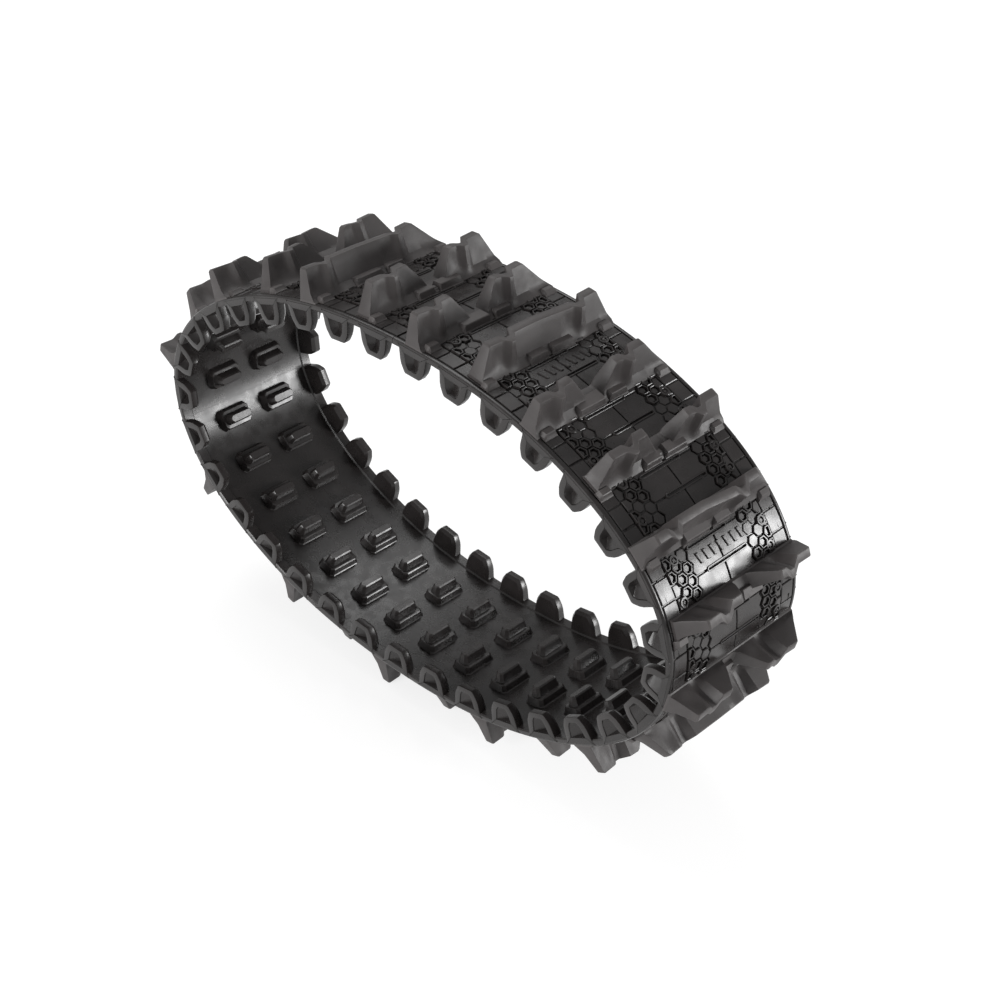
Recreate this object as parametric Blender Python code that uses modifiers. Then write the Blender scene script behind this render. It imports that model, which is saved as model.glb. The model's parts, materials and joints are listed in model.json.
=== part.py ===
"""Rubber crawler track: an endless moulded band with tread bars, drive lugs and edge teeth.

The band is an oval loop that stands on its tread bars.  It is split at its living hinges
into one band section and one tread bar for every step of the tread, so that the loop can
be squeezed flatter or opened rounder.

Frame: +X along the oval, +Y across the band, +Z up.  The floor is z = 0.
"""
import math

import bmesh
import bpy
from mathutils import Matrix, Vector

# ---- driving dimensions, metres ----
LOOP_LENGTH = 0.600              # once round the band's outer face
BAND_WIDTH = 0.062
BAND_THICKNESS = 0.0019
TOOTH_COUNT = 33                 # edge teeth on each side, and pairs of drive lugs
BAR_COUNT = 24                   # tread bars
PIECE_GAP = 0.0003               # clearance between touching pieces
PITCH = LOOP_LENGTH / TOOTH_COUNT
BAR_PITCH = TOOTH_COUNT / BAR_COUNT          # in teeth

# ---- places along the loop, counted in teeth, clockwise as seen from -Y ----
LEFT_END = 27.20                 # where the oval is furthest to -X, in its own axes
FIRST_BAR = 3.0                  # where tread bar 1 stands
FIRST_HINGE = 2.5                # where band section 1 begins
SECTION_TEETH = (1, 2, 1, 1, 2, 1, 1, 2)     # teeth on each of eight sections, repeated
STANDING_BARS = (12, 13)         # the two bars that the loop rests on

# ---- shape of the oval: how the tangent angle departs from a circle's ----
OVAL_TERMS = ((2, -0.397), (4, -0.080), (6, -0.028))
LOOP_STEPS = 3300
FACETS_PER_TOOTH = 4

# ---- edge teeth ----
TOOTH_BASE = 0.72 * PITCH
TOOTH_TIP = 0.36 * PITCH
TOOTH_DEPTH = 0.0042
TOOTH_TIP_DEPTH = 0.0034
TOOTH_HEIGHT = 0.0085            # above the band's inner face

# ---- drive lugs ----
LUG_OFFSET = 0.0103              # from the band's centre line to a lug's centre
LUG_BASE = (0.0080, 0.0160)      # along and across the band
LUG_TOP = (0.0038, 0.0116)
LUG_HEIGHT = 0.0062

# ---- tread bars ----
BAR_ROOT = 0.0060                # thickness where a bar meets the band
BAR_TIP = 0.0030
BAR_SHIFT = 0.0055               # every second bar is moved sideways by this much
HORN_HEIGHT = 0.0116             # the points that touch the ground first
FIN_HEIGHT = 0.0103
WALL_HEIGHT = 0.0092
NOTCH_HEIGHT = 0.0084
STEP_HEIGHT = 0.0028
EMBED = 0.0008                   # how far teeth and lugs reach into the band

COLLECTION_NAME = "rubber_track"


def clear_scene():
    """Remove whatever the scene holds, so that the model starts empty."""
    for thing in list(bpy.data.objects):
        bpy.data.objects.remove(thing, do_unlink=True)


def new_collection(name):
    """A collection linked to the scene."""
    collection = bpy.data.collections.new(name)
    bpy.context.scene.collection.children.link(collection)
    return collection


def rubber(name, color, roughness):
    """A plain rubber finish."""
    material = bpy.data.materials.new(name)
    material.use_nodes = True
    shader = material.node_tree.nodes["Principled BSDF"]
    shader.inputs["Base Color"].default_value = (*color, 1.0)
    shader.inputs["Roughness"].default_value = roughness
    shader.inputs["Metallic"].default_value = 0.0
    return material


# ---- the loop ----

def tangent_angle(turn):
    """Direction of travel at an angle round the loop, 0 at the left end, clockwise."""
    departure = sum(size * math.sin(count * turn) for count, size in OVAL_TERMS)
    return math.pi / 2 - turn + departure


def trace_loop():
    """Points of the band's outer face at equal steps from the left end, centred on 0."""
    step = LOOP_LENGTH / LOOP_STEPS
    points = [Vector((0.0, 0.0, 0.0))]
    for index in range(LOOP_STEPS):
        angle = tangent_angle(2 * math.pi * (index + 0.5) / LOOP_STEPS)
        points.append(points[-1] + step * Vector((math.cos(angle), 0.0, math.sin(angle))))
    centre = sum(points[:-1], Vector()) / LOOP_STEPS
    return [point - centre for point in points]


LOOP_POINTS = trace_loop()


def loop_frame(place):
    """Frame at a place on the band's outer face: X along it, Y across it, Z outwards."""
    turn = ((place - LEFT_END) / TOOTH_COUNT) % 1.0
    exact = turn * LOOP_STEPS
    index = int(exact)
    point = LOOP_POINTS[index].lerp(LOOP_POINTS[index + 1], exact - index)
    angle = tangent_angle(2 * math.pi * turn)
    along = Vector((math.cos(angle), 0.0, math.sin(angle)))
    across = Vector((0.0, 1.0, 0.0))
    outwards = along.cross(across)
    frame = Matrix((along, across, outwards)).transposed().to_4x4()
    frame.translation = point
    return frame


def bar_place(bar):
    """Where a tread bar stands, in teeth."""
    return FIRST_BAR + BAR_PITCH * (bar - 1)


def tip_corners(bar):
    """The two long edges of a bar's tip, on the loop before it is set down."""
    frame = loop_frame(bar_place(bar))
    corners = [(side * BAR_TIP / 2, 0.0, HORN_HEIGHT) for side in (-1, 1)]
    return [frame @ Vector(corner) for corner in corners]


def standing_matrix():
    """Turn and lift the loop so that it rests on its two standing bars."""
    tips = [sum(tip_corners(bar), Vector()) / 2 for bar in STANDING_BARS]
    tips.sort(key=lambda tip: tip.x)
    slope = tips[1] - tips[0]
    turn = Matrix.Rotation(math.atan2(slope.z, slope.x), 4, "Y")
    corners = [turn @ corner for bar in range(1, BAR_COUNT + 1) for corner in tip_corners(bar)]
    middle = (min(corner.x for corner in corners) + max(corner.x for corner in corners)) / 2
    floor = min(corner.z for corner in corners)
    return Matrix.Translation((-middle, 0.0, -floor)) @ turn


STANDING = standing_matrix()


def placed(place):
    """World frame at a place on the standing loop."""
    return STANDING @ loop_frame(place)


# ---- solids ----

def add_object(name, mesh, material, collection):
    """An object with one material, in a collection."""
    thing = bpy.data.objects.new(name, mesh)
    mesh.materials.append(material)
    collection.objects.link(thing)
    return thing


def set_origin(thing, point):
    """Move an object's origin to a point in the world, with its shape kept in place."""
    thing.data.transform(Matrix.Translation(-point))
    thing.location = point


def tapered_block(bm, base, top, height, matrix):
    """Add a block that narrows from its base at z = 0 to its top."""
    made = bmesh.ops.create_cube(bm, size=1.0)
    for vert in made["verts"]:
        size = top if vert.co.z > 0 else base
        level = height if vert.co.z > 0 else 0.0
        vert.co = matrix @ Vector((vert.co.x * size[0], vert.co.y * size[1], level))


def band_strip(start, end):
    """The open outer face of the band between two places."""
    cuts = round((end - start) * FACETS_PER_TOOTH)
    inset = PIECE_GAP / 2 / PITCH
    bm = bmesh.new()
    bmesh.ops.create_grid(bm, x_segments=cuts, y_segments=1, size=0.5)
    for vert in bm.verts:
        share = vert.co.x + 0.5
        place = start + inset + share * (end - start - 2 * inset)
        vert.co = placed(place) @ Vector((0.0, vert.co.y * BAND_WIDTH, 0.0))
    mesh = bpy.data.meshes.new("band_strip")
    bm.to_mesh(mesh)
    bm.free()
    return mesh


def band_features(start, end):
    """The edge teeth and drive lugs of one section, as separate closed blocks."""
    bm = bmesh.new()
    for index in range(round(end - start)):
        frame = placed(start + 0.5 + index) @ Matrix.Rotation(math.pi, 4, "X")
        for side in (-1, 1):
            edge = side * (BAND_WIDTH - TOOTH_DEPTH) / 2
            foot = frame @ Matrix.Translation((0.0, edge, BAND_THICKNESS - EMBED))
            tapered_block(bm, (TOOTH_BASE, TOOTH_DEPTH), (TOOTH_TIP, TOOTH_TIP_DEPTH),
                          TOOTH_HEIGHT + EMBED, foot)
            foot = frame @ Matrix.Translation((0.0, side * LUG_OFFSET, BAND_THICKNESS - EMBED))
            tapered_block(bm, LUG_BASE, LUG_TOP, LUG_HEIGHT + EMBED, foot)
    mesh = bpy.data.meshes.new("band_features")
    bm.to_mesh(mesh)
    bm.free()
    return mesh


def band_section(number, start, end, hinge, material, collection, cutters):
    """One stretch of the band, joined with its teeth and lugs."""
    name = f"band_section_{number:02d}"
    section = add_object(name, band_strip(start, end), material, collection)
    set_origin(section, hinge)
    shell = section.modifiers.new("thickness", "SOLIDIFY")
    shell.thickness = BAND_THICKNESS
    shell.offset = -1.0
    features = add_object(f"{name}_features", band_features(start, end), material, cutters)
    set_origin(features, hinge)
    features.hide_render = True
    features.display_type = "WIRE"
    union = section.modifiers.new("teeth_and_lugs", "BOOLEAN")
    union.operation = "UNION"
    union.solver = "EXACT"
    union.object = features
    return section


def bar_outline(bar):
    """Outline of a tread bar across the band: (distance from the near edge, height)."""
    shift = BAR_SHIFT if bar % 2 == 0 else 0.0
    near_fin = [
        (0.0000 + shift, STEP_HEIGHT),
        (0.0060 + shift, FIN_HEIGHT),
        (0.0130 + shift, FIN_HEIGHT),
        (0.0158 + shift, NOTCH_HEIGHT),
        (0.0182 + shift, HORN_HEIGHT),
        (0.0206 + shift, HORN_HEIGHT),
    ]
    far_fin = [
        (0.0420 + shift, FIN_HEIGHT),
        (0.0475 + shift, FIN_HEIGHT),
        (0.0500 + shift, NOTCH_HEIGHT),
        (0.0538 + shift, HORN_HEIGHT),
        (0.0554 + shift, HORN_HEIGHT),
        (0.0560 + shift, STEP_HEIGHT),
    ]
    if is_long_wall(bar):
        middle = [(0.0228 + shift, WALL_HEIGHT), (0.0395 + shift, WALL_HEIGHT)]
    else:
        middle = [(0.0216 + shift, STEP_HEIGHT), (0.0375 + shift, STEP_HEIGHT)]
    outline = [(0.0, 0.0), (0.0, STEP_HEIGHT)] if shift else [(0.0, 0.0)]
    outline += near_fin + middle + far_fin
    if outline[-1][0] < BAND_WIDTH - PIECE_GAP:
        outline.append((BAND_WIDTH, STEP_HEIGHT))
    outline.append((BAND_WIDTH, 0.0))
    return outline


def is_long_wall(bar):
    """Every third bar has a wall between its fins."""
    return bar % 3 == 2


def bar_thickness(height):
    """A bar thins from its root to its tip."""
    return BAR_ROOT + (BAR_TIP - BAR_ROOT) * height / HORN_HEIGHT


def tread_bar(number, hinge, material, collection):
    """One tread bar, standing outwards from the band."""
    bm = bmesh.new()
    ring = []
    for across, height in bar_outline(number):
        ring.append(bm.verts.new((0.0, across - BAND_WIDTH / 2, height)))
    face = bm.faces.new(ring)
    grown = bmesh.ops.extrude_face_region(bm, geom=[face])
    far_side = {vert for vert in grown["geom"] if isinstance(vert, bmesh.types.BMVert)}
    frame = placed(bar_place(number))
    for vert in bm.verts:
        side = 0.5 if vert in far_side else -0.5
        height = vert.co.z
        local = Vector((side * bar_thickness(height), vert.co.y, max(height, PIECE_GAP)))
        vert.co = frame @ local
    bmesh.ops.recalc_face_normals(bm, faces=bm.faces)
    if bm.calc_volume(signed=True) < 0:
        bmesh.ops.reverse_faces(bm, faces=bm.faces)
    mesh = bpy.data.meshes.new("tread_bar")
    bm.to_mesh(mesh)
    bm.free()
    bar = add_object(f"tread_bar_{number:02d}", mesh, material, collection)
    set_origin(bar, hinge)
    return bar


def section_edges():
    """Where each band section begins, in teeth, and where the last one ends."""
    edges = [FIRST_HINGE]
    for index in range(BAR_COUNT):
        edges.append(edges[-1] + SECTION_TEETH[index % len(SECTION_TEETH)])
    return edges


def hinge_point(place):
    """A living hinge: the middle of the band's thickness."""
    return placed(place) @ Vector((0.0, 0.0, -BAND_THICKNESS / 2))


def build():
    """Make every band section and tread bar of the loop."""
    clear_scene()
    parts = new_collection(COLLECTION_NAME)
    cutters = new_collection("features")
    band_rubber = rubber("band_rubber", (0.012, 0.012, 0.013), 0.42)
    bar_rubber = rubber("tread_rubber", (0.030, 0.030, 0.031), 0.62)
    edges = section_edges()
    root_section = STANDING_BARS[1]
    for number in range(1, BAR_COUNT + 1):
        start, end = edges[number - 1], edges[number]
        hinge = hinge_point(start if number >= root_section else end)
        band_section(number, start, end, hinge, band_rubber, parts, cutters)
        tread_bar(number, hinge, bar_rubber, parts)


build()
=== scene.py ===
"""The finished look of the rubber track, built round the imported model.

Every piece is laid out flat first: x along the band, y across it from the near edge and
z outwards from the band's outer face.  It is then wrapped round the oval or stood on it.
Places round the oval are counted in teeth, as in the CAD model.
"""
import functools
import json
import math

import bmesh
import bpy
from mathutils import Matrix, Vector

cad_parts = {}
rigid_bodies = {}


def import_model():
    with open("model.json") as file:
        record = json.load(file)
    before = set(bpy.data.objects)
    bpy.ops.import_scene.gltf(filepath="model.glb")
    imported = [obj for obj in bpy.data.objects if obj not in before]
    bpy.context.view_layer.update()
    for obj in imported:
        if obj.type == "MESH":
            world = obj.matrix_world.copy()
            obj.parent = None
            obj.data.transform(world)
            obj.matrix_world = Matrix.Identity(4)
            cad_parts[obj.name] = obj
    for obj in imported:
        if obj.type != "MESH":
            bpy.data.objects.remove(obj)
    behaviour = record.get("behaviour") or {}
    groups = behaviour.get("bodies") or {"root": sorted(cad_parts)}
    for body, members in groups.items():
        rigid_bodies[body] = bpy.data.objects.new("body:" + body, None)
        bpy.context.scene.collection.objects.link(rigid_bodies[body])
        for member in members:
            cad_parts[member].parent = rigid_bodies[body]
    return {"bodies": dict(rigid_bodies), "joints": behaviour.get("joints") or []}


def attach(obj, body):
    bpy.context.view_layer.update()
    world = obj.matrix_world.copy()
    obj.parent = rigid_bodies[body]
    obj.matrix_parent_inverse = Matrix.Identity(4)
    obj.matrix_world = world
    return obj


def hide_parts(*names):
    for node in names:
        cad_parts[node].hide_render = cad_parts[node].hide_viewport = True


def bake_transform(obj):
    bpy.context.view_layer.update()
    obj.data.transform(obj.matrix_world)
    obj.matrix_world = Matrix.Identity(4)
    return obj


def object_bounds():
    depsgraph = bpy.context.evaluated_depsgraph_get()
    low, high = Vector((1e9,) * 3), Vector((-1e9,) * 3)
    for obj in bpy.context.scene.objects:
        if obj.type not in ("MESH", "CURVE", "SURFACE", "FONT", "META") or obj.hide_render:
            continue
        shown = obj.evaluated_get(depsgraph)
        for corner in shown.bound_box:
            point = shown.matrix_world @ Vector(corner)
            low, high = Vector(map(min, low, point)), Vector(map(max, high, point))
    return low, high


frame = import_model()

CAD_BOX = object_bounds()

# ---- the CAD model's driving dimensions, metres ----
LOOP_LENGTH = 0.600
BAND_WIDTH = CAD_BOX[1].y - CAD_BOX[0].y
BAND_THICKNESS = 0.0019
TOOTH_COUNT = 33
BAR_COUNT = len(frame["bodies"])
PITCH = LOOP_LENGTH / TOOTH_COUNT
BAR_PITCH = TOOTH_COUNT / BAR_COUNT
LEFT_END = 27.20
FIRST_BAR = 3.0
FIRST_HINGE = 2.5
SECTION_TEETH = (1, 2, 1, 1, 2, 1, 1, 2)
OVAL_TERMS = ((2, -0.397), (4, -0.080), (6, -0.028))
LOOP_STEPS = 3300
MM = 0.001

# ---- the band ----
RUN_LENGTH = BAR_PITCH * PITCH   # from one tread bar to the next
RUN_CUTS = 22
BEND_REACH = 2.4 * MM            # how far the band would bend on each side of a living hinge; no hinge bend is made
OPEN_GAP = 0.1 * MM              # between each end of the band and the open hinge
FLOOR_DEPTH = 0.6 * MM           # of the grooves between the plates
RAIL_DEPTH = 0.5 * MM            # the inner face is thicker under the edge teeth

# ---- plates on the band's outer face ----
HEX_COLUMNS = 6
HEX_STEP = RUN_LENGTH / HEX_COLUMNS
HEX_RADIUS = HEX_STEP / math.sqrt(3)
HEX_ROWS = (9.2 * MM, 9.2 * MM + 1.5 * HEX_RADIUS, 9.2 * MM + 3.0 * HEX_RADIUS)
HEX_TOPS = (0.15, -0.25, 0.3, 0.1, 0.0)   # mm, the plates' tops over the band, by pattern
HEX_RIB_TOP = 0.4 * MM           # of the ribs round some of the plates
HEX_RIB_WIDTH = 0.5 * MM
HEX_SUNK_TOP = -0.22 * MM        # of the plates inside those ribs
SHORTEST_SIDE = 0.8 * MM         # a cell with a shorter side takes no rib
GROOVE = 0.5 * MM
PLATE_CHAMFER = 0.2 * MM
RIB_CHAMFER = 0.12 * MM
PANEL_TOP = -0.08 * MM
RIM_WIDTH = 1.9 * MM
PANEL_END = 8.1 * MM             # the rectangular panels along the band's edges
PANEL_CUTS = (8.9 * MM, 16.3 * MM)
SLOTS = ((5.4 * MM, 19.5 * MM, 38.0 * MM), (14.3 * MM, 23.5 * MM, 42.5 * MM))
SPINE = 31.6 * MM                # the long groove down the middle
SLOT_HALF_WIDTH = 0.85 * MM
SLOT_WALL = 0.55 * MM
SLOT_TOP = 0.32 * MM
BOSS_COLUMNS = ((1, 4), (2, 4))  # on the near and the far half of a run
BOSS_RADIUS = 1.75 * MM
BOSS_HOLE = 1.0 * MM
BOSS_TOP = 0.5 * MM
BOLT_RADIUS = 0.75 * MM
BOLT_TOP = 0.35 * MM
DASH_COUNT = 7
DASH_START = 21.3 * MM           # distance of the first dash from the near edge
DASH_WIDTH = 1.2 * MM
DASH_STEP = 3.2 * MM
DASH_ENDS = (8.0 * MM, 11.6 * MM)
DASH_LEAN = 0.9 * MM             # how much further across a dash ends than it starts
DASH_TOP = 0.45 * MM

# ---- tread bars ----
BAR_ROOT = 6.0 * MM
BAR_TIP = 3.0 * MM
BAR_SHIFT = 5.5 * MM
BAR_TOP = 10.9 * MM
PLEAT_TOP = 10.5 * MM
FOOT_TOP = 0.9 * MM              # of the bar between its fins
PLEATS = (11.0 * MM, 42.4 * MM)  # where each fin folds, across the band
PLEAT_RISE = (-3.1 * MM, -1.3 * MM)   # where the wall turns forward, from the pleat's middle
PLEAT_FALL = (0.4 * MM, 2.7 * MM)     # where it turns back
NEAR_LEAN = -1.9 * MM            # how far ahead a fin's top stands before its pleat
PLEAT_LEAN = 0.0 * MM            # at the pleat
FAR_LEAN = -3.3 * MM             # after the pleat
MIDDLE = (25.0 * MM, 38.0 * MM)  # where the wall comes back from one lean to the other
SCOOP_SPAN = (8.6 * MM, 2.6 * MM)     # distances of a scoop's ends before each pleat
SCOOP_DEPTH = 0.6 * MM
SCOOP_RISE = (1.5 * MM, 9.6 * MM)     # a scoop's lowest and highest points
# the fins' outer flanks: (distance from the near edge, height)
NEAR_FLANK = ((0.5 * MM, FOOT_TOP), (1.1 * MM, 4.0 * MM), (2.3 * MM, BAR_TOP))
FAR_FLANK = ((50.2 * MM, BAR_TOP), (57.0 * MM, 3.8 * MM), (60.4 * MM, FOOT_TOP))
MOVED_NEAR_FLANK = ((3.0 * MM, FOOT_TOP), (4.4 * MM, 3.4 * MM), (7.4 * MM, BAR_TOP))
MOVED_FAR_FLANK = ((56.6 * MM, BAR_TOP), (59.8 * MM, 4.2 * MM), (61.3 * MM, FOOT_TOP))
GAP_OUTLINE = (                  # of the gap between the two fins
    (17.9 * MM, BAR_TOP), (22.6 * MM, 4.8 * MM), (24.9 * MM, FOOT_TOP),
    (31.0 * MM, FOOT_TOP), (32.8 * MM, 4.4 * MM), (36.4 * MM, BAR_TOP),
)
CORNER_CUT = 0.5 * MM            # at the outline's corners
LONGEST_SIDE = 0.8 * MM          # between two sections of a bar
BAR_EDGE = 0.35 * MM             # of the rounding along a bar's top
CROWN_EDGE = 0.12 * MM
FLARE = 0.9 * MM                 # how much wider a bar is on each side at the band
FOOT_FLARE = 1.0 * MM            # and below the band's face
FLARE_TOP = 2.0 * MM             # height where the flare has died out
FLARE_START = 0.1 * MM
WALL_START = 0.45 * MM           # height of the wall's lowest row of points
WALL_ROWS = 7
BENT_SHARE = 0.35                # of a lean that is taken up near the foot
BENT_RISE = (0.3 * MM, 2.2 * MM)   # between these heights
BEAM_HEIGHT = 2.3 * MM
BRIDGE_HEIGHT = 1.3 * MM
NEAR_BLOCK_HEIGHT = 1.7 * MM
FAR_BLOCK_HEIGHT = 1.5 * MM

# ---- edge teeth and drive lugs ----
TOOTH_DEPTH = 4.2 * MM
TOOTH_TIP_DEPTH = 3.4 * MM
TOOTH_TOP = -0.9 * MM
TOOTH_TIP = -10.4 * MM
LUG_OFFSET = 10.3 * MM
LUG_RINGS = (                    # height, length along the band, width across it
    (-1.3, 9.0, 13.9), (-1.9, 8.8, 13.7), (-2.25, 8.1, 13.2), (-4.3, 7.3, 12.3),
    (-4.65, 6.7, 11.9), (-4.75, 4.4, 11.2), (-5.05, 4.1, 10.9), (-7.6, 3.2, 9.6),
    (-8.05, 2.4, 8.8),
)


# ---- the loop ----

def tangent_angle(turn):
    """Direction of travel at an angle round the loop, 0 at the left end, clockwise."""
    departure = sum(size * math.sin(count * turn) for count, size in OVAL_TERMS)
    return math.pi / 2 - turn + departure


def trace_loop():
    """Points of the band's outer face at equal steps from the left end, centred on 0."""
    step = LOOP_LENGTH / LOOP_STEPS
    points = [Vector((0.0, 0.0, 0.0))]
    for index in range(LOOP_STEPS):
        angle = tangent_angle(2 * math.pi * (index + 0.5) / LOOP_STEPS)
        points.append(points[-1] + step * Vector((math.cos(angle), 0.0, math.sin(angle))))
    centre = sum(points[:-1], Vector()) / LOOP_STEPS
    return [point - centre for point in points]


LOOP_POINTS = trace_loop()


def loop_frame(place):
    """Frame at a place on the band's outer face: X along it, Y across it, Z outwards."""
    turn = ((place - LEFT_END) / TOOTH_COUNT) % 1.0
    exact = turn * LOOP_STEPS
    index = int(exact)
    point = LOOP_POINTS[index].lerp(LOOP_POINTS[index + 1], exact - index)
    angle = tangent_angle(2 * math.pi * turn)
    along = Vector((math.cos(angle), 0.0, math.sin(angle)))
    across = Vector((0.0, 1.0, 0.0))
    axes = Matrix((along, across, along.cross(across))).transposed().to_4x4()
    axes.translation = point
    return axes


def section_edges():
    """Where each band section begins, in teeth, and where the last one ends."""
    edges = [FIRST_HINGE]
    for index in range(BAR_COUNT):
        edges.append(edges[-1] + SECTION_TEETH[index % len(SECTION_TEETH)])
    return edges


EDGES = section_edges()


def frame_hinges():
    """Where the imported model's hinges are, by the number of the section before each."""
    points = {}
    for joint in frame["joints"]:
        before = min(int(joint[end][-2:]) for end in ("parent", "child"))
        points[before] = Vector(joint["pos_m"])
    return points


HINGES = frame_hinges()


def standing_matrix():
    """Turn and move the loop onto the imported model, by two hinges on opposite sides."""
    first, second = BAR_COUNT // 4, 3 * BAR_COUNT // 4
    middle = Vector((0.0, 0.0, -BAND_THICKNESS / 2))
    drawn = [loop_frame(EDGES[number]) @ middle for number in (first, second)]
    packed = [HINGES[number] for number in (first, second)]
    before, after = drawn[1] - drawn[0], packed[1] - packed[0]
    angle = math.atan2(before.z, before.x) - math.atan2(after.z, after.x)
    turn = Matrix.Rotation(angle, 4, "Y")
    return Matrix.Translation(packed[0] - turn @ drawn[0]) @ turn


STANDING = standing_matrix()


@functools.lru_cache(maxsize=None)
def placed(place):
    """World frame at a place on the standing loop, with Y = 0 at the band's near edge."""
    near_edge = Matrix.Translation((0.0, CAD_BOX[0].y, 0.0))
    return STANDING @ loop_frame(place) @ near_edge


def bar_place(bar):
    """Where a tread bar stands, in teeth."""
    return FIRST_BAR + BAR_PITCH * (bar - 1)


def wrap(bm, start):
    """Bend a flat layout round the oval, with its x = 0 at a place."""
    for vert in bm.verts:
        point = Vector((0.0, vert.co.y, vert.co.z))
        vert.co = placed(round(start + vert.co.x / PITCH, 6)) @ point


# ---- mesh tools ----

def loft(bm, rings, closed=False):
    """Skin a row of rings with the same number of points, and cap its ends."""
    rows = [[bm.verts.new(point) for point in ring] for ring in rings]
    pairs = list(zip(rows, rows[1:]))
    if closed:
        pairs.append((rows[-1], rows[0]))
    count = len(rows[0])
    for row, following in pairs:
        for index in range(count):
            after = (index + 1) % count
            bm.faces.new((row[index], row[after], following[after], following[index]))
    if not closed:
        bm.faces.new(reversed(rows[0]))
        bm.faces.new(rows[-1])


def shrink(outline, distance):
    """Move every side of an outline, drawn anticlockwise, inwards by a distance."""
    moved = []
    count = len(outline)
    for index, point in enumerate(outline):
        before = (point - outline[index - 1]).normalized()
        after = (outline[(index + 1) % count] - point).normalized()
        inward = Vector((-before.y, before.x)) + Vector((-after.y, after.x))
        moved.append(point + inward * (distance / max(1.0 + before.dot(after), 0.3)))
    return moved


def clip(outline, axis, limit, keep_below):
    """The part of a convex outline on one side of a line across an axis."""
    sign = 1.0 if keep_below else -1.0
    kept = []
    for index, point in enumerate(outline):
        following = outline[(index + 1) % len(outline)]
        here, there = sign * (limit - point[axis]), sign * (limit - following[axis])
        if here >= 0:
            kept.append(point)
        if here * there < 0:
            kept.append(point.lerp(following, here / (here - there)))
    return kept


def level(outline, height):
    """An outline as a ring of points at one height."""
    return [Vector((point.x, point.y, height)) for point in outline]


def plate(bm, outline, top, chamfer=PLATE_CHAMFER):
    """A raised plate with chamfered edges, set into the band."""
    loft(bm, (
        level(outline, -FLOOR_DEPTH - 0.2 * MM),
        level(outline, top - chamfer),
        level(shrink(outline, chamfer), top),
    ))


def ring_rib(bm, outer, inner, top):
    """A raised rib that runs round between two outlines."""
    loft(bm, (
        level(outer, -FLOOR_DEPTH),
        level(outer, top - RIB_CHAMFER),
        level(shrink(outer, RIB_CHAMFER), top),
        level(shrink(inner, -RIB_CHAMFER), top),
        level(inner, top - RIB_CHAMFER),
        level(inner, -FLOOR_DEPTH),
    ), closed=True)


def rectangle(low_x, high_x, low_y, high_y):
    """A rectangle, anticlockwise."""
    corners = ((low_x, low_y), (high_x, low_y), (high_x, high_y), (low_x, high_y))
    return [Vector(corner) for corner in corners]


def polygon(centre, radius, sides, turn=0.0):
    """A regular polygon, anticlockwise."""
    angles = [turn + 2 * math.pi * index / sides for index in range(sides)]
    return [centre + radius * Vector((math.cos(angle), math.sin(angle))) for angle in angles]


def oval(x, low_y, high_y, half_width):
    """A long round-ended outline across the band, anticlockwise."""
    ends = ((high_y - half_width, 0.0), (low_y + half_width, math.pi))
    outline = []
    for y, first in ends:
        for index in range(7):
            angle = first + math.pi * index / 6
            outline.append(Vector((x, y)) + half_width * Vector((math.cos(angle), math.sin(angle))))
    return outline


def piece(name, bm, material, sharp_angle=32):
    """A finished object in world space, shaded smooth except at its sharp edges."""
    bmesh.ops.remove_doubles(bm, verts=bm.verts, dist=0.002 * MM)
    bmesh.ops.dissolve_degenerate(bm, edges=bm.edges, dist=0.001 * MM)
    bmesh.ops.recalc_face_normals(bm, faces=bm.faces)
    mesh = bpy.data.meshes.new(name)
    bm.to_mesh(mesh)
    bm.free()
    mesh.materials.append(material)
    mesh.shade_smooth()
    mesh.set_sharp_from_angle(angle=math.radians(sharp_angle))
    thing = bpy.data.objects.new(name, mesh)
    bpy.context.scene.collection.objects.link(thing)
    return thing


# ---- the band and its plates ----

def band_profile():
    """The band's outline across, as (distance from the near edge, height)."""
    inside = -BAND_THICKNESS
    near = [
        (4.6, inside / MM), (4.1, (inside - RAIL_DEPTH) / MM), (0.5, (inside - RAIL_DEPTH) / MM),
        (0.15, inside / MM), (0.15, -0.75), (0.3, -0.35), (0.65, -0.1), (1.05, 0.0),
        (1.55, 0.0), (1.75, -0.12), (RIM_WIDTH / MM, -FLOOR_DEPTH / MM),
    ]
    near = [(across * MM, height * MM) for across, height in near]
    far = [(BAND_WIDTH - across, height) for across, height in reversed(near)]
    return near + far


def band_sheet(bm, start, end):
    """The band itself, between two distances along a run."""
    profile = band_profile()
    cuts = max(2, round(RUN_CUTS * (end - start) / RUN_LENGTH))
    rings = []
    for index in range(cuts + 1):
        along = start + (end - start) * index / cuts
        rings.append([Vector((along, across, height)) for across, height in profile])
    loft(bm, rings)


def hex_border(along):
    """How far the zigzag edge of the hexagons reaches towards the middle."""
    phase = (along / HEX_STEP + 0.5 * (len(HEX_ROWS) - 1)) % 1.0
    return HEX_ROWS[-1] + HEX_RADIUS / 2 + HEX_RADIUS / 2 * (1 - abs(2 * phase - 1))


def mirrored(outline):
    """The same outline on the far half of the band, anticlockwise again."""
    return [Vector((point.x, BAND_WIDTH - point.y)) for point in reversed(outline)]


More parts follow.
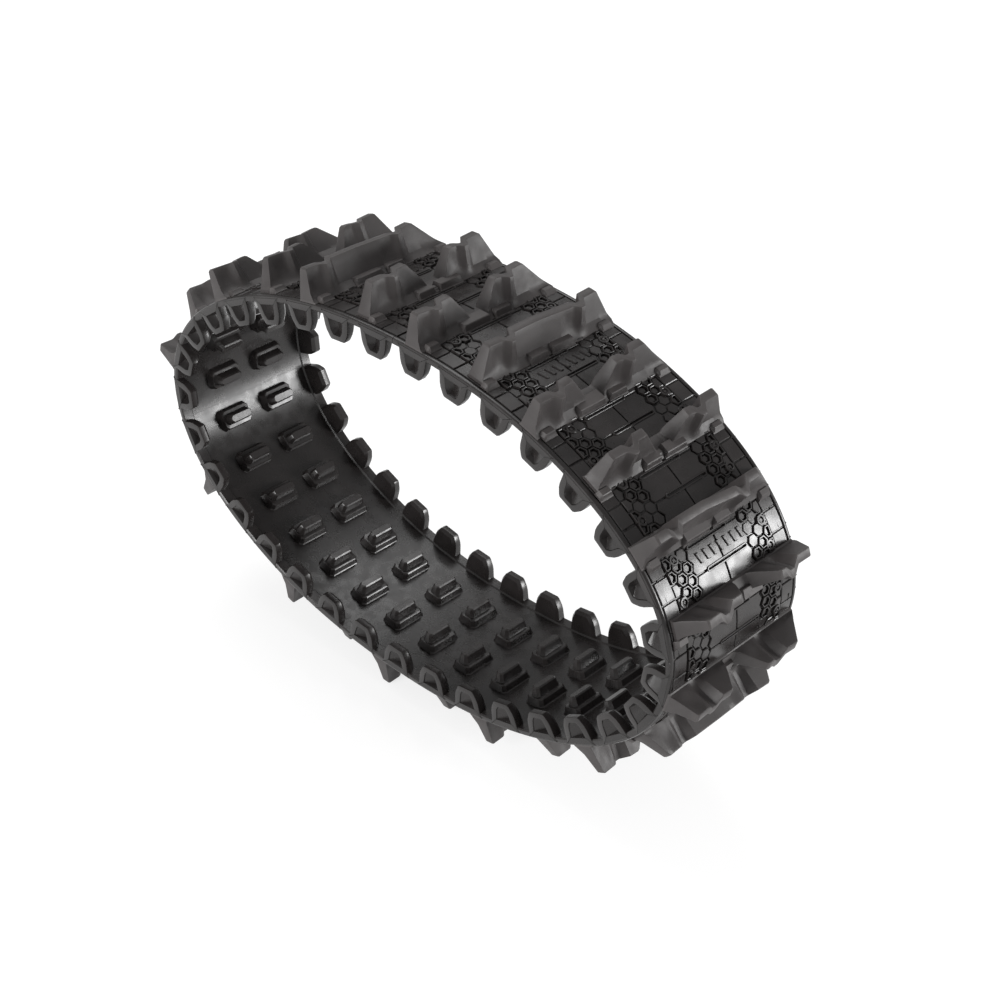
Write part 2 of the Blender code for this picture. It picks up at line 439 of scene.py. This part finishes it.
def hex_plates(bm, run):
    """Honeycomb plates beside the middle tiles, on both halves of the band."""
    for row, across in enumerate(HEX_ROWS):
        for column in range(-1, HEX_COLUMNS + 1):
            along = (column + 0.5 + 0.5 * (row % 2)) * HEX_STEP
            cell = polygon(Vector((along, across)), HEX_RADIUS, 6, math.pi / 6)
            cell = clip(cell, 1, PANEL_END, keep_below=False)
            cell = clip(cell, 0, 0.0, keep_below=False)
            cell = clip(cell, 0, RUN_LENGTH, keep_below=True)
            if len(cell) < 3:
                continue
            cell = shrink(cell, GROOVE / 2)
            shortest = min((point - after).length for point, after in zip(cell, cell[1:]))
            for half in range(2):
                outer = mirrored(cell) if half else cell
                pattern = (3 * row + 2 * column + run + half) % len(HEX_TOPS)
                if pattern % 2 or shortest < SHORTEST_SIDE:
                    plate(bm, outer, HEX_TOPS[pattern] * MM)
                else:
                    ring_rib(bm, outer, shrink(outer, HEX_RIB_WIDTH), HEX_RIB_TOP)
                    plate(bm, shrink(outer, 1.5 * HEX_RIB_WIDTH), HEX_SUNK_TOP)


def bosses(bm, run):
    """Round bosses like bolt heads, among the honeycomb plates."""
    for half, columns in enumerate(BOSS_COLUMNS):
        for column in columns:
            along = (column + 0.5 * (run % 2)) * HEX_STEP
            across = HEX_ROWS[1] if column % 2 else HEX_ROWS[0] + 1.2 * MM
            centre = Vector((along, BAND_WIDTH - across if half else across))
            rim, hole = polygon(centre, BOSS_RADIUS, 16), polygon(centre, BOSS_HOLE, 16)
            ring_rib(bm, rim, hole, BOSS_TOP)
            plate(bm, polygon(centre, BOLT_RADIUS, 6), BOLT_TOP)


def middle_tiles(bm):
    """Large plates down the middle, cut by two cross grooves and the long groove."""
    cuts = [0.0] + [slot[0] for slot in SLOTS] + [RUN_LENGTH]
    for low, high in zip(cuts, cuts[1:]):
        low_x = low + GROOVE / 2 if low > 0 else 0.0
        high_x = high - GROOVE / 2 if high < RUN_LENGTH else RUN_LENGTH
        breaks = [index * HEX_STEP / 2 for index in range(2 * HEX_COLUMNS + 1)]
        breaks = [low_x] + [x for x in breaks if low_x + GROOVE < x < high_x - GROOVE] + [high_x]
        for half in range(2):
            spine = (BAND_WIDTH - SPINE if half else SPINE) - GROOVE / 2
            outline = [Vector((x, hex_border(x) + GROOVE)) for x in breaks]
            outline += [Vector((high_x, spine)), Vector((low_x, spine))]
            plate(bm, mirrored(outline) if half else outline, 0.0)


def edge_panels(bm):
    """Rectangular plates along both edges."""
    cuts = [0.0, *PANEL_CUTS, RUN_LENGTH]
    for low, high in zip(cuts, cuts[1:]):
        low_x = low + GROOVE / 2 if low > 0 else 0.0
        high_x = high - GROOVE / 2 if high < RUN_LENGTH else RUN_LENGTH
        panel = rectangle(low_x, high_x, RIM_WIDTH + 0.3 * MM, PANEL_END - GROOVE / 2)
        plate(bm, panel, PANEL_TOP)
        plate(bm, mirrored(panel), PANEL_TOP)


def slot_ribs(bm):
    """Long round-ended ribs round the two slots in the middle tiles."""
    for along, low, high in SLOTS:
        rim = oval(along, low, high, SLOT_HALF_WIDTH)
        hole = oval(along, low + SLOT_WALL, high - SLOT_WALL, SLOT_HALF_WIDTH - SLOT_WALL)
        ring_rib(bm, rim, hole, SLOT_TOP)


def dashes(bm):
    """A row of slanted raised dashes across the middle tiles."""
    start, end = DASH_ENDS
    for index in range(DASH_COUNT):
        low = DASH_START + index * DASH_STEP
        high = low + DASH_WIDTH
        outline = [Vector((start, low)), Vector((end, low + DASH_LEAN)),
                   Vector((end, high + DASH_LEAN)), Vector((start, high))]
        plate(bm, outline, DASH_TOP)


def slice_along(bm, low, high):
    """Cut a flat layout across every half hexagon, and drop what lies beyond its ends."""
    steps = [index * HEX_STEP / 2 for index in range(1, 2 * HEX_COLUMNS)]
    for along in steps:
        bmesh.ops.bisect_plane(bm, geom=bm.verts[:] + bm.edges[:] + bm.faces[:], dist=0.01 * MM,
                               plane_co=(along, 0.0, 0.0), plane_no=(1.0, 0.0, 0.0))
    for along, beyond in ((low, -1.0), (high, 1.0)):
        if 0.0 < along < RUN_LENGTH:
            cut = bmesh.ops.bisect_plane(
                bm, geom=bm.verts[:] + bm.edges[:] + bm.faces[:], dist=0.001 * MM,
                plane_co=(along, 0.0, 0.0), plane_no=(beyond, 0.0, 0.0), clear_outer=True)
            edges = [item for item in cut["geom_cut"] if isinstance(item, bmesh.types.BMEdge)]
            bmesh.ops.edgeloop_fill(bm, edges=edges)


def band_run(name, run, low, high, material):
    """The band and its plates between two distances along the run after a tread bar."""
    bm = bmesh.new()
    hex_plates(bm, run)
    bosses(bm, run)
    middle_tiles(bm)
    edge_panels(bm)
    slot_ribs(bm)
    if run % 3 == 2:
        dashes(bm)
    slice_along(bm, low, high)
    band_sheet(bm, low, high)
    wrap(bm, bar_place(run))
    return piece(name, bm, material)


def add_band(material):
    """Every run of the band, wrapped round the oval from one tread bar to the next, and the run at
    the open hinge cut in two.
    """
    for run in range(1, BAR_COUNT):
        thing = band_run(f"band_run_{run:02d}", run, 0.0, RUN_LENGTH, material)
        along = placed(EDGES[run]).to_3x3() @ Vector((BEND_REACH, 0.0, 0.0))
        before, after = f"section_{run:02d}", f"section_{run + 1:02d}"
        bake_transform(thing)
        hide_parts(f"band_{before}", f"band_{after}")
    cut = (EDGES[BAR_COUNT] - bar_place(BAR_COUNT)) * PITCH
    ends = (("a", 0.0, cut - OPEN_GAP, BAR_COUNT), ("b", cut + OPEN_GAP, RUN_LENGTH, 1))
    for part, low, high, number in ends:
        name = f"band_run_{BAR_COUNT:02d}_{part}"
        thing = band_run(name, BAR_COUNT, low, high, material)
        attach(thing, f"section_{number:02d}")
        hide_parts(f"band_section_{number:02d}")


# ---- tread bars ----

def bar_shift(bar):
    """How far a tread bar is moved across the band: every second one is."""
    return BAR_SHIFT if bar % 2 == 0 else 0.0


def bar_outline(bar):
    """A tread bar's top edge across the band: (distance from the near edge, height)."""
    shift = bar_shift(bar)
    near, far = (MOVED_NEAR_FLANK, MOVED_FAR_FLANK) if shift else (NEAR_FLANK, FAR_FLANK)
    has_wall = bar % 3 == 2
    inner = [(PLEATS[0], PLEAT_TOP), *(() if has_wall else GAP_OUTLINE), (PLEATS[1], PLEAT_TOP)]
    moved = [(across + shift, height) for across, height in inner]
    return [Vector(point) for point in (*near, *moved, *far)]


def softened(outline, radius, longest):
    """An open outline with its corners cut and its long sides divided."""
    points = [outline[0]]
    for before, corner, after in zip(outline, outline[1:], outline[2:]):
        for other in (before, after):
            reach = min(radius, 0.4 * (other - corner).length)
            points.append(corner + (other - corner).normalized() * reach)
    points.append(outline[-1])
    divided = [points[0]]
    for before, after in zip(points, points[1:]):
        count = max(1, math.ceil((after.x - before.x) / longest))
        divided += [before.lerp(after, (index + 1) / count) for index in range(count)]
    return divided


def ramp(value, low, high):
    """0 below low, 1 above high, and a straight rise between them."""
    return min(1.0, max(0.0, (value - low) / (high - low)))


def pleat_shape(across):
    """How far a panel stands ahead, at a distance from the middle of a pleat."""
    rise = ramp(across, *PLEAT_RISE)
    fall = ramp(across, *PLEAT_FALL)
    return NEAR_LEAN + (PLEAT_LEAN - NEAR_LEAN) * rise + (FAR_LEAN - PLEAT_LEAN) * fall


def panel_offset(bar, across):
    """How far a bar's wall stands ahead of its centre line: it folds at two pleats."""
    across -= bar_shift(bar)
    back = (NEAR_LEAN - FAR_LEAN) * ramp(across, *MIDDLE)
    if across > 0.5 * (PLEATS[0] + PLEATS[1]):
        far = pleat_shape(across - PLEATS[1])
        return far if across > MIDDLE[1] else FAR_LEAN + back
    return pleat_shape(across - PLEATS[0]) + back


def scoop(bar, across):
    """Depth of the hollows in the faces of the fins' near panels."""
    across -= bar_shift(bar)
    for pleat in PLEATS:
        low, high = (pleat - reach for reach in SCOOP_SPAN)
        if low < across < high:
            return SCOOP_DEPTH * math.sin(math.pi * (across - low) / (high - low))
    return 0.0


def bar_ring(bar, across, top):
    """A bar's section at a distance across the band, flared at the foot, rounded on top."""
    offset = panel_offset(bar, across)
    hollow = scoop(bar, across)
    root = BAR_ROOT / 2
    rows = [(-FLOOR_DEPTH, root + FOOT_FLARE, 0.0), (FLARE_START, root + FLARE, 0.0)]
    for index in range(WALL_ROWS):
        height = WALL_START + (top - BAR_EDGE - WALL_START) * index / (WALL_ROWS - 1)
        half = (BAR_ROOT + (BAR_TIP - BAR_ROOT) * height / BAR_TOP) / 2
        half += FLARE * (1 - ramp(height, 0.0, FLARE_TOP)) ** 2
        bent, straight = ramp(height, *BENT_RISE), height / BAR_TOP
        lean = offset * (BENT_SHARE * bent + (1 - BENT_SHARE) * straight)
        dent = hollow * math.sin(math.pi * ramp(height, *SCOOP_RISE))
        rows.append((height, half - dent, lean))
    rows.append((top - CROWN_EDGE, half - CROWN_EDGE, lean))
    rows.append((top, half - BAR_EDGE, lean))
    before = [Vector((lean - half, across, height)) for height, half, lean in rows]
    ahead = [Vector((lean + half, across, height)) for height, half, lean in rows]
    return before + ahead[::-1]


def beam_ring(across, low, high, height):
    """Section of a low beam at a bar's foot, with its ahead side sloping to the band."""
    profile = ((low, -FLOOR_DEPTH), (low, height - 0.2 * MM), (low + 0.2 * MM, height),
               (high - 1.0 * MM, height), (high - 0.7 * MM, height - 0.2 * MM),
               (high - 0.1 * MM, 0.3 * MM), (high + 0.3 * MM, 0.0), (high + 0.3 * MM, -FLOOR_DEPTH))
    return [Vector((x, across, z)) for x, z in profile]


def beam(bm, start, end, low, high, height):
    """A low beam with sloped ends, across part of the band."""
    ends = ((start, 0.3), (start + 0.7 * MM, 1.0), (end - 0.7 * MM, 1.0), (end, 0.3))
    loft(bm, [beam_ring(across, low, high, height * share) for across, share in ends])


def beams(bm, bar):
    """Low beams at a bar's foot: two in the middle and one that joins them, one at each edge."""
    shift = bar_shift(bar)
    beam(bm, 18.5 * MM + 0.8 * shift, SPINE - 0.9 * MM, -0.6 * MM, 4.5 * MM, BEAM_HEIGHT)
    beam(bm, SPINE - 1.5 * MM, SPINE + 1.5 * MM, 0.9 * MM, 3.3 * MM, BRIDGE_HEIGHT)
    beam(bm, SPINE + 0.9 * MM, 40.5 * MM + 0.4 * shift, 0.1 * MM, 4.4 * MM, BEAM_HEIGHT)
    beam(bm, 2.2 * MM, 7.4 * MM, 2.6 * MM, 5.6 * MM, NEAR_BLOCK_HEIGHT)
    beam(bm, BAND_WIDTH - 7.4 * MM, BAND_WIDTH - 2.2 * MM, 2.4 * MM, 5.2 * MM, FAR_BLOCK_HEIGHT)


def tread_bar(bar, material):
    """One tread bar with its two fins or its long wall, and the beams at its foot."""
    bm = bmesh.new()
    outline = softened(bar_outline(bar), CORNER_CUT, LONGEST_SIDE)
    loft(bm, [bar_ring(bar, point.x, point.y) for point in outline])
    beams(bm, bar)
    matrix = placed(bar_place(bar))
    bmesh.ops.transform(bm, matrix=matrix, verts=bm.verts)
    thing = piece(f"moulded_bar_{bar:02d}", bm, material, 28)
    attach(thing, f"section_{bar:02d}")
    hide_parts(f"tread_bar_{bar:02d}")


# ---- edge teeth and drive lugs ----

def tooth_outline():
    """An edge tooth seen from the side, anticlockwise from its flared root."""
    half = [(6.9, -1.0), (6.3, -1.75), (6.0, -2.5), (5.5, -6.0), (5.0, -7.6), (3.7, -9.8),
            (3.0, TOOTH_TIP / MM)]
    left = [Vector((-x * MM, z * MM)) for x, z in half]
    right = [Vector((x * MM, z * MM)) for x, z in reversed(half)]
    return [Vector((-7.1 * MM, TOOTH_TOP)), *left, *right, Vector((7.1 * MM, TOOTH_TOP))]


def tooth_layer(outline, depth, taper=0.0):
    """A tooth's outline at a depth across the band, shallower towards its tip."""
    layer = []
    for point in outline:
        share = ramp(-point.y, -TOOTH_TOP, -TOOTH_TIP)
        layer.append(Vector((point.x, depth - taper * share, point.y)))
    return layer


def recess_outline():
    """The wedge-shaped recess in a tooth's outer face, point for point with the outline."""
    half = [(3.7, -3.2), (3.7, -3.3), (3.5, -3.8), (3.0, -6.0), (2.7, -7.1), (1.9, -8.3),
            (1.5, -8.6)]
    left = [Vector((-x * MM, z * MM)) for x, z in half]
    right = [Vector((x * MM, z * MM)) for x, z in reversed(half)]
    return [Vector((-3.6 * MM, -3.1 * MM)), *left, *right, Vector((3.6 * MM, -3.1 * MM))]


def valley(outline):
    """The line at the bottom of the recess that every point of its edge slopes down to."""
    return [Vector((-1.3 * MM, min(max(point.y, -7.4 * MM), -3.9 * MM))) for point in outline]


def edge_tooth(bm, matrix, far_side):
    """One edge tooth, with its recess on the outside of the band."""
    outline, recess = tooth_outline(), recess_outline()
    taper = TOOTH_DEPTH - TOOTH_TIP_DEPTH
    rings = [
        tooth_layer(valley(recess), 2.3 * MM),
        tooth_layer(shrink(recess, 0.15 * MM), 0.35 * MM),
        tooth_layer(recess, 0.0),
        tooth_layer(shrink(outline, 0.4 * MM), 0.0),
        tooth_layer(shrink(outline, 0.1 * MM), 0.1 * MM),
        tooth_layer(outline, 0.4 * MM),
        tooth_layer(outline, TOOTH_DEPTH - 1.1 * MM, taper),
        tooth_layer(shrink(outline, 0.9 * MM), TOOTH_DEPTH, taper),
    ]
    mirror = Matrix.Identity(4)
    if far_side:
        mirror = Matrix.Translation((0.0, BAND_WIDTH, 0.0)) @ Matrix.Scale(-1.0, 4, (0.0, 1.0, 0.0))
    loft(bm, [[matrix @ mirror @ point for point in ring] for ring in rings])


def lug_ring(height, length, width):
    """A rectangle with cut corners, as one ring of a lug."""
    corner = min(0.28 * length, 1.1)
    x, y = length / 2, width / 2
    points = [(x, y - corner), (x - corner, y), (corner - x, y), (-x, y - corner),
              (-x, corner - y), (corner - x, -y), (x - corner, -y), (x, corner - y)]
    return [Vector((along, across, height)) * MM for along, across in points]


def drive_lug(bm, matrix):
    """One drive lug: a skirt, a ledge and a ridge, narrowing inwards."""
    loft(bm, [[matrix @ point for point in lug_ring(*ring)] for ring in LUG_RINGS])


def add_teeth(number, material):
    """The edge teeth and drive lugs of one band section."""
    bm = bmesh.new()
    for index in range(round(EDGES[number] - EDGES[number - 1])):
        matrix = placed(EDGES[number - 1] + 0.5 + index)
        for side in (-1, 1):
            edge_tooth(bm, matrix, far_side=side > 0)
            centre = Matrix.Translation((0.0, BAND_WIDTH / 2 + side * LUG_OFFSET, 0.0))
            drive_lug(bm, matrix @ centre)
    thing = piece(f"teeth_and_lugs_{number:02d}", bm, material, 28)
    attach(thing, f"section_{number:02d}")
    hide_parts(f"band_section_{number:02d}")


# ---- rubber ----

def noise(tree, coords, scale, detail):
    """A noise texture in metres of the object's own space."""
    node = tree.nodes.new("ShaderNodeTexNoise")
    node.inputs["Scale"].default_value = scale
    node.inputs["Detail"].default_value = detail
    tree.links.new(coords.outputs["Object"], node.inputs["Vector"])
    return node


def spread(tree, source, low, high):
    """Map a texture's middle range onto low to high."""
    node = tree.nodes.new("ShaderNodeMapRange")
    node.inputs["From Min"].default_value = 0.3
    node.inputs["From Max"].default_value = 0.7
    node.inputs["To Min"].default_value = low
    node.inputs["To Max"].default_value = high
    tree.links.new(source, node.inputs["Value"])
    return node


def rubber(name, color, pale_tone_and_edge_highlight, roughness, grain, shine):
    """Moulded rubber: fine grain, uneven gloss, mottling, and sharp edges painted paler as an edge
    highlight that also stands for wear.
    """
    material = bpy.data.materials.new(name)
    material.use_nodes = True
    tree = material.node_tree
    shader = tree.nodes["Principled BSDF"]
    shader.inputs["Specular IOR Level"].default_value = shine
    coords = tree.nodes.new("ShaderNodeTexCoord")
    cloud = noise(tree, coords, 90.0, 5.0)
    # The paler second colour serves both the random mottling and the painted edge highlight.
    mottle_and_edge_highlight = tree.nodes.new("ShaderNodeMix")
    mottle_and_edge_highlight.data_type = "RGBA"
    mottle_and_edge_highlight.inputs["A"].default_value = (*color, 1.0)
    mottle_and_edge_highlight.inputs["B"].default_value = (*pale_tone_and_edge_highlight, 1.0)
    share = spread(tree, cloud.outputs["Fac"], 0.0, 0.45)
    # Painted edge highlight: the sharpest outer edges are mixed towards the paler colour, for light
    # caught on them, with some wear.
    geometry = tree.nodes.new("ShaderNodeNewGeometry")
    edges = tree.nodes.new("ShaderNodeMapRange")
    edges.inputs["From Min"].default_value = 0.52
    edges.inputs["From Max"].default_value = 0.62
    edges.inputs["To Max"].default_value = 0.6
    tree.links.new(geometry.outputs["Pointiness"], edges.inputs["Value"])
    total = tree.nodes.new("ShaderNodeMath")
    total.use_clamp = True
    tree.links.new(share.outputs["Result"], total.inputs[0])
    tree.links.new(edges.outputs["Result"], total.inputs[1])
    tree.links.new(total.outputs["Value"], mottle_and_edge_highlight.inputs["Factor"])
    tree.links.new(mottle_and_edge_highlight.outputs["Result"], shader.inputs["Base Color"])
    gloss = spread(tree, noise(tree, coords, 230.0, 3.0).outputs["Fac"],
                   roughness - 0.05, roughness + 0.07)
    tree.links.new(gloss.outputs["Result"], shader.inputs["Roughness"])
    bump = tree.nodes.new("ShaderNodeBump")
    bump.inputs["Strength"].default_value = grain
    bump.inputs["Distance"].default_value = 0.00012
    tree.links.new(noise(tree, coords, 2600.0, 4.0).outputs["Fac"], bump.inputs["Height"])
    tree.links.new(bump.outputs["Normal"], shader.inputs["Normal"])
    return material


# ---- the studio ----

CAMERA_PLACE = (0.37001, -0.36413, 0.42065)
CAMERA_AZIMUTH = 43.951
CAMERA_ELEVATION = 34.015
CAMERA_ROLL = 0.560
CAMERA_LENS = 65.42
SENSOR_WIDTH = 36.0
FLOOR_HALF_WIDTH = 40.0
FLOOR_COLOR = (0.35, 0.35, 0.35, 1.0)
FLOOR_GLOW = 0.74
SURROUND_GLOW = 0.40
LIGHT_TARGET = (0.0, 0.0, 0.08)
SOFT_BOXES = (                   # name, place, width and height, power
    ("top_box", (-0.7, 0.4, 1.5), (1.2, 0.9), 13.0),
    ("right_box", (1.2, 0.95, 0.30), (0.5, 0.45), 18.0),
    ("near_box", (-0.1, -1.5, 0.60), (0.9, 0.5), 19.0),
)
WHITE = (1.0, 1.0, 1.0, 1.0)


def add_camera():
    """The camera, looking down at the near side and the right-hand end of the loop."""
    turn, drop, roll = (math.radians(angle) for angle in
                        (CAMERA_AZIMUTH, CAMERA_ELEVATION, CAMERA_ROLL))
    ahead = Vector((-math.sin(turn) * math.cos(drop), math.cos(turn) * math.cos(drop),
                    -math.sin(drop)))
    right = ahead.cross(Vector((0.0, 0.0, 1.0))).normalized()
    up = right.cross(ahead)
    rolled_right = math.cos(roll) * right + math.sin(roll) * up
    rolled_up = math.cos(roll) * up - math.sin(roll) * right
    data = bpy.data.cameras.new("camera")
    data.lens = CAMERA_LENS
    data.sensor_width = SENSOR_WIDTH
    camera = bpy.data.objects.new("camera", data)
    matrix = Matrix((rolled_right, rolled_up, -ahead)).transposed().to_4x4()
    matrix.translation = CAMERA_PLACE
    camera.matrix_world = matrix
    bpy.context.scene.collection.objects.link(camera)
    bpy.context.scene.camera = camera


def area_light(name, place, target, size, power):
    """A soft box that faces a target."""
    data = bpy.data.lights.new(name, "AREA")
    data.shape = "RECTANGLE"
    data.size, data.size_y = size
    data.energy = power
    light = bpy.data.objects.new(name, data)
    light.location = place
    light.rotation_euler = (Vector(target) - Vector(place)).to_track_quat("-Z", "Y").to_euler()
    bpy.context.scene.collection.objects.link(light)


def add_studio():
    """A white floor, a white surround and soft boxes."""
    bm = bmesh.new()
    bmesh.ops.create_grid(bm, x_segments=1, y_segments=1, size=FLOOR_HALF_WIDTH)
    mesh = bpy.data.meshes.new("floor")
    bm.to_mesh(mesh)
    bm.free()
    floor = bpy.data.objects.new("floor", mesh)
    material = bpy.data.materials.new("floor_white")
    material.use_nodes = True
    shader = material.node_tree.nodes["Principled BSDF"]
    shader.inputs["Base Color"].default_value = FLOOR_COLOR
    shader.inputs["Emission Color"].default_value = WHITE
    shader.inputs["Emission Strength"].default_value = FLOOR_GLOW
    shader.inputs["Roughness"].default_value = 0.9
    shader.inputs["Specular IOR Level"].default_value = 0.1
    mesh.materials.append(material)
    bpy.context.scene.collection.objects.link(floor)
    world = bpy.data.worlds.new("studio")
    world.use_nodes = True
    surround = world.node_tree.nodes["Background"]
    surround.inputs["Color"].default_value = WHITE
    surround.inputs["Strength"].default_value = SURROUND_GLOW
    bpy.context.scene.world = world
    for name, place, size, power in SOFT_BOXES:
        area_light(name, place, LIGHT_TARGET, size, power)
    bpy.context.scene.view_settings.view_transform = "Standard"


def build():
    """Make the whole track."""
    band_rubber = rubber("band_rubber_with_painted_edge_highlight", (0.0095, 0.0080, 0.0077), (0.027, 0.0235, 0.023),
                         0.27, 0.12, 0.42)
    # The tread rubber is paler than the band's: partly its own paler matte rubber, partly painted
    # light for the fins' brightly lit faces.
    tread_rubber = rubber("tread_rubber_with_painted_light", (0.035, 0.031, 0.0305), (0.068, 0.061, 0.060),
                          0.50, 0.35, 0.38)
    add_camera()
    add_studio()
    add_band(band_rubber)
    for number in range(1, BAR_COUNT + 1):
        tread_bar(number, tread_rubber)
        add_teeth(number, band_rubber)


build()
